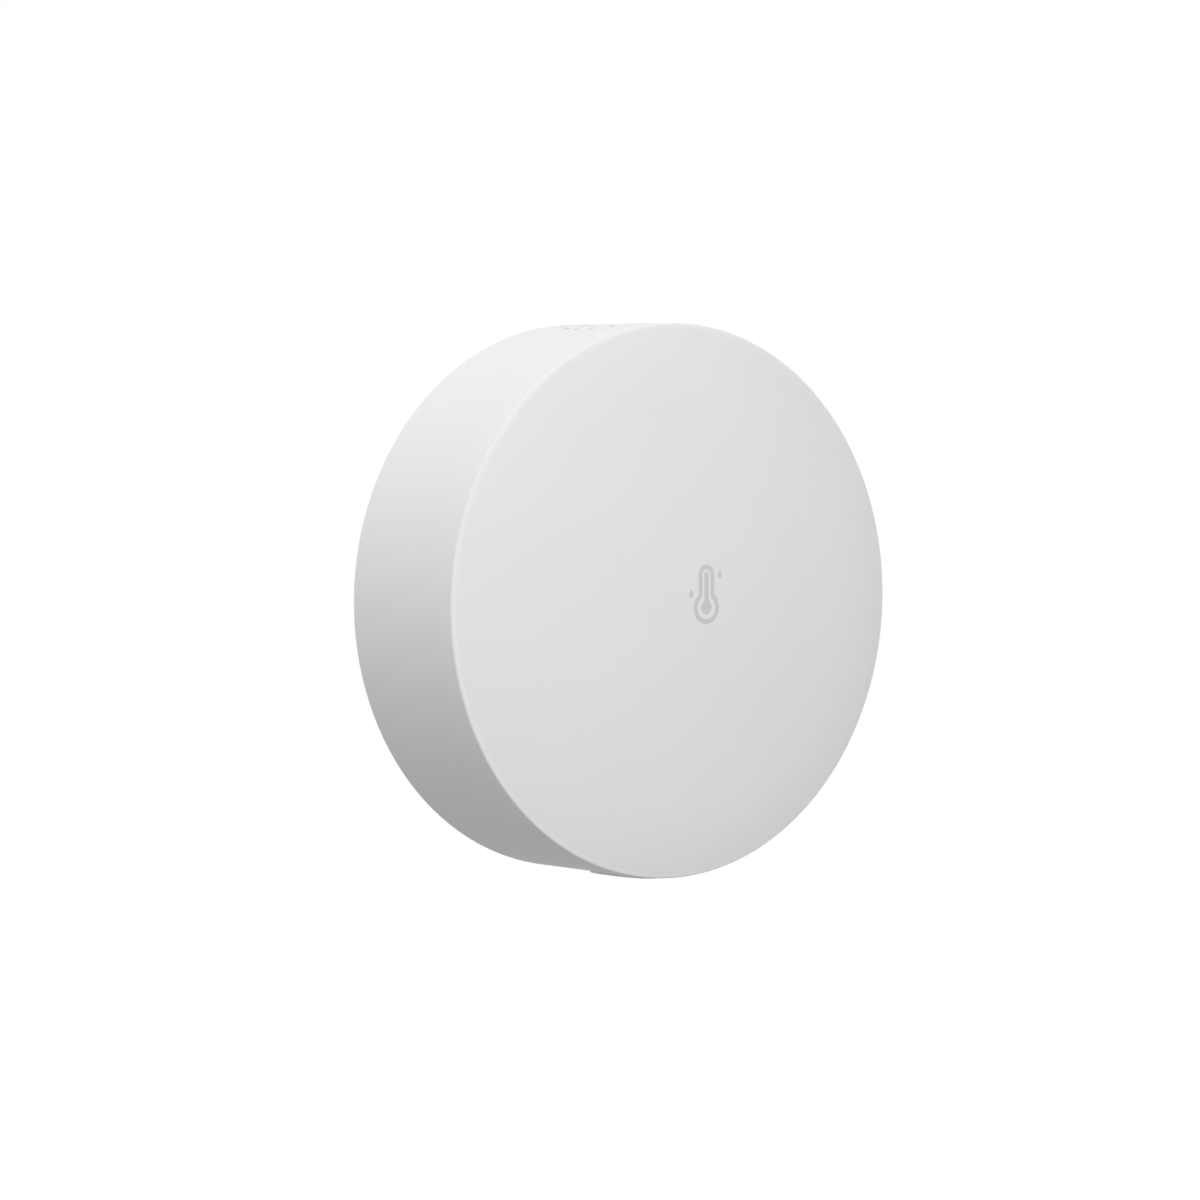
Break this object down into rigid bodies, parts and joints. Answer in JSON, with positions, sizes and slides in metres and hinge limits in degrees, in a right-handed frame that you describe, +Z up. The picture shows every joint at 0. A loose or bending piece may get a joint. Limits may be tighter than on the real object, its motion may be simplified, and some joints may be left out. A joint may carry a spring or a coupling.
{
  "type": "temperature humidity sensor",
  "caption": "Round wall puck that measures temperature and humidity, with a shallow domed front, a vented rim, a push button underneath and a twist-off rear cover over a coin cell.",
  "frame": {"origin": "centre of the rear cover's flat back face, which lies on the wall", "axes": "+Z up, -Y out of the wall towards the domed front, +X to the right as seen from the front"},
  "size_m": [0.043, 0.0166, 0.0431],
  "materials": {
    "shell_white": "white moulded plastic with a fine satin grain",
    "cover_white": "white moulded plastic with a fine satin grain",
    "button_white": "white moulded plastic, smooth satin",
    "cradle_grey": "light grey moulded plastic",
    "board_green": "green solder mask on laminate",
    "chip_black": "black moulded epoxy",
    "capacitor_tan": "tan fired ceramic with tinned ends",
    "bulk_amber": "amber moulded epoxy",
    "light_cream": "clear cream lens",
    "bright_steel": "bright plated steel",
    "cell_steel": "brushed nickel-plated steel",
    "gasket_black": "black sealing rubber",
    "core_grey": "pressed dark powder",
    "contact_gold": "gold-plated spring brass",
    "print_grey": "grey pad-printed ink"
  },
  "bodies": {
    "wall_cover": {"rear_cover": "cover_white"},
    "sensor_unit": {"front_shell": "shell_white", "battery_cradle": "cradle_grey", "main_board": "board_green", "radio_chip": "chip_black", "radio_crystal": "bright_steel", "sleep_crystal": "bright_steel", "antenna_trace": "contact_gold", "climate_sensor": "chip_black", "status_light": "light_cream", "chip_capacitors": "capacitor_tan", "chip_resistors": "chip_black", "bulk_capacitor": "bulk_amber", "switch_body": "chip_black", "switch_cover": "bright_steel", "cell_can": "cell_steel", "cell_gasket": "gasket_black", "cell_cap": "cell_steel", "cell_core": "core_grey", "positive_contact": "contact_gold", "negative_contact": "contact_gold", "board_screws": "bright_steel"},
    "push_button": {"button": "button_white"},
    "plunger": {"switch_plunger": "button_white"}
  },
  "joints": [
    {"name": "unit_twist", "type": "hinge", "parent": "wall_cover", "child": "sensor_unit", "pos_m": [0, 0, 0], "axis": [0, -1, 0], "range_deg": [0, 24]},
    {"name": "button_press", "type": "slide", "parent": "sensor_unit", "child": "push_button", "axis": [0, 0, 1], "range_m": [0, 0.00025], "stiffness_N_per_m": 400, "springref_m": -0.0015},
    {"name": "plunger_press", "type": "slide", "parent": "sensor_unit", "child": "plunger", "axis": [0, 0, 1], "range_m": [0, 0.00025]}
  ],
  "couplings": [
    {"joint": "plunger_press", "follows": "button_press", "ratio": 1}
  ]
}
